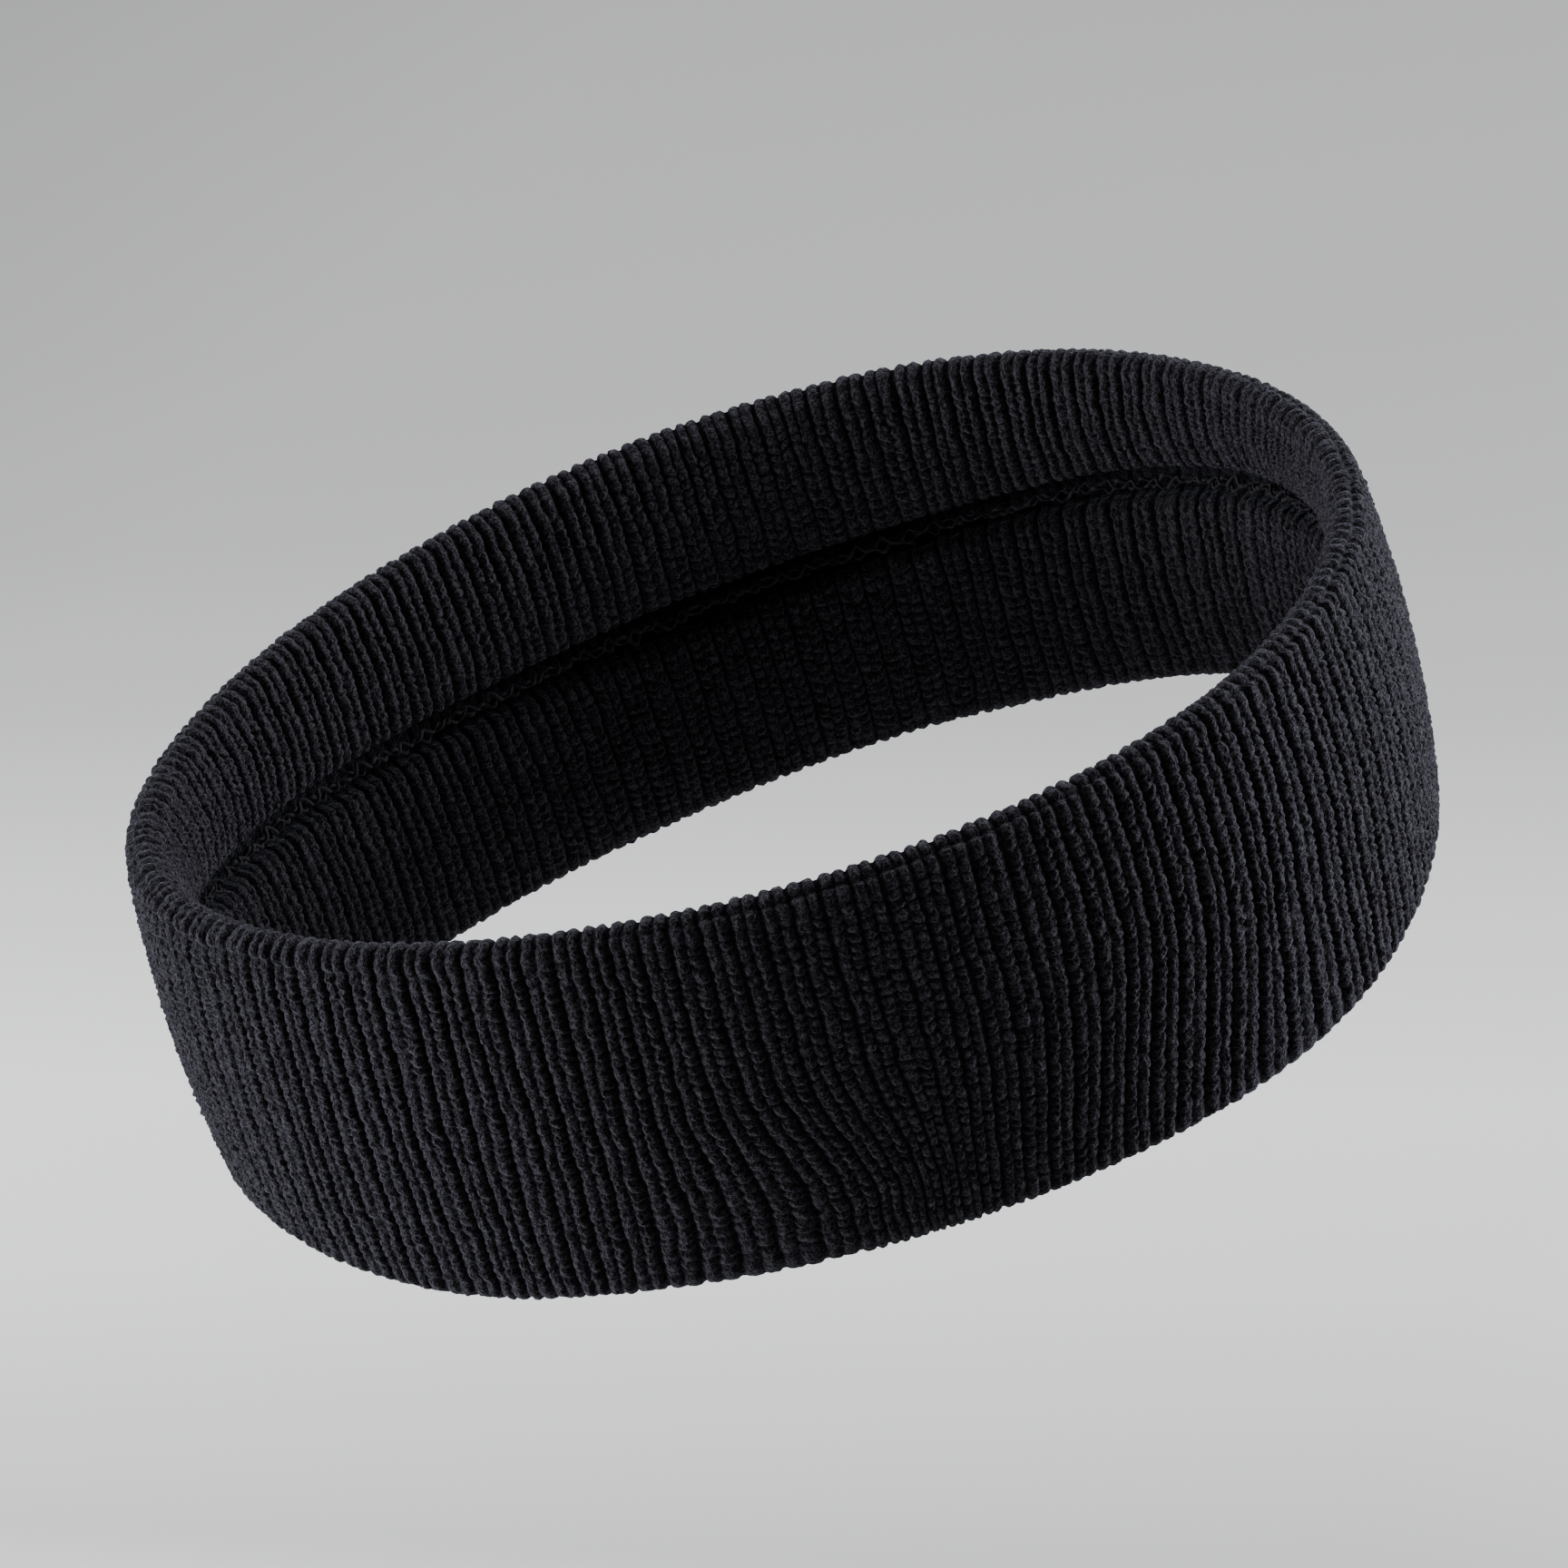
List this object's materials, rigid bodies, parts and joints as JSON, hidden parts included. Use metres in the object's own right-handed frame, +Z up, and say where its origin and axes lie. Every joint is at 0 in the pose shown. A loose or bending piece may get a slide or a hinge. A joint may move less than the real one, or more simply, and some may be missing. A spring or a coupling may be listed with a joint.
{
  "type": "sports headband",
  "caption": "Wide ribbed stretch-knit sports headband, folded double and linked in a seam round the inside, worn round the head to keep sweat and hair off the face.",
  "frame": {"origin": "centre of the bounding box at the lower fold, on the surface that the band stands on", "axes": "+Z up across the band's width, +X along the longest side towards the fuller end of the oval, +Y across the head opening"},
  "size_m": [0.1602, 0.1272, 0.05],
  "materials": {
    "knit_yarn": "soft brushed terry-like rib knit, matt black with a cool cast",
    "seam_thread": "matt black twisted thread",
    "elastic_yarn": "covered elastic yarn, dark and satin"
  },
  "bodies": {
    "root": {"knit_shell": "knit_yarn", "linking_seam": "seam_thread", "outer_elastic_1": "elastic_yarn", "outer_elastic_2": "elastic_yarn", "outer_elastic_3": "elastic_yarn", "outer_elastic_4": "elastic_yarn", "outer_elastic_5": "elastic_yarn", "outer_elastic_6": "elastic_yarn", "lower_elastic_1": "elastic_yarn", "lower_elastic_2": "elastic_yarn", "lower_elastic_3": "elastic_yarn", "upper_elastic_1": "elastic_yarn", "upper_elastic_2": "elastic_yarn", "upper_elastic_3": "elastic_yarn"}
  },
  "joints": []
}
